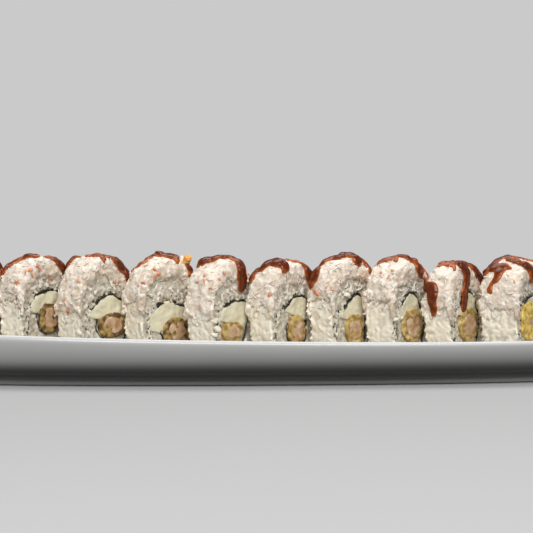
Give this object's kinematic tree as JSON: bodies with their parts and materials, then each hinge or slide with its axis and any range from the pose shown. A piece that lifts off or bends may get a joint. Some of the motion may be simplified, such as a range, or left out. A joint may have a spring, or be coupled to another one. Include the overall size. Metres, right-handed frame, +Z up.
{
  "type": "uramaki roll on a serving plate",
  "caption": "Sliced inside-out sushi roll with shrimp tempura, cream cheese and a crab topping, standing in a row on a long oval ceramic plate.",
  "frame": {"origin": "on the table under the middle of the plate", "axes": "+X along the row and the plate's length, +Z up; the cut faces look towards +X and -Y"},
  "size_m": [0.364, 0.114, 0.0604],
  "materials": {
    "plate": "white glaze, glossy",
    "rice": "steamed short grains, moist satin",
    "nori": "wrinkled dried seaweed, matt",
    "cream_cheese": "smooth, soft sheen",
    "shrimp_tempura": "fried batter, craggy",
    "crab_topping": "fine moist shreds",
    "shrimp_meat": "cooked shrimp, moist",
    "crab_red": "red outer flakes of the crab sticks",
    "sauce": "thick sweet soy glaze, glossy"
  },
  "bodies": {
    "root": {"plate": "plate", "rice_0": "rice", "nori_0": "nori", "cream_cheese_0": "cream_cheese", "shrimp_tempura_0": "shrimp_tempura", "crab_topping_0": "crab_topping", "rice_1": "rice", "nori_1": "nori", "cream_cheese_1": "cream_cheese", "shrimp_tempura_1": "shrimp_tempura", "crab_topping_1": "crab_topping", "rice_2": "rice", "nori_2": "nori", "cream_cheese_2": "cream_cheese", "shrimp_tempura_2": "shrimp_tempura", "crab_topping_2": "crab_topping", "rice_3": "rice", "nori_3": "nori", "cream_cheese_3": "cream_cheese", "shrimp_tempura_3": "shrimp_tempura", "crab_topping_3": "crab_topping", "rice_4": "rice", "nori_4": "nori", "cream_cheese_4": "cream_cheese", "shrimp_tempura_4": "shrimp_tempura", "crab_topping_4": "crab_topping", "rice_5": "rice", "nori_5": "nori", "cream_cheese_5": "cream_cheese", "shrimp_tempura_5": "shrimp_tempura", "crab_topping_5": "crab_topping", "rice_6": "rice", "nori_6": "nori", "cream_cheese_6": "cream_cheese", "shrimp_tempura_6": "shrimp_tempura", "crab_topping_6": "crab_topping", "rice_7": "rice", "nori_7": "nori", "cream_cheese_7": "cream_cheese", "shrimp_tempura_7": "shrimp_tempura", "crab_topping_7": "crab_topping", "rice_8": "rice", "nori_8": "nori", "cream_cheese_8": "cream_cheese", "shrimp_tempura_8": "shrimp_tempura", "crab_topping_8": "crab_topping", "rice_9": "rice", "nori_9": "nori", "cream_cheese_9": "cream_cheese", "shrimp_tempura_9": "shrimp_tempura", "crab_topping_9": "crab_topping"}
  },
  "joints": []
}
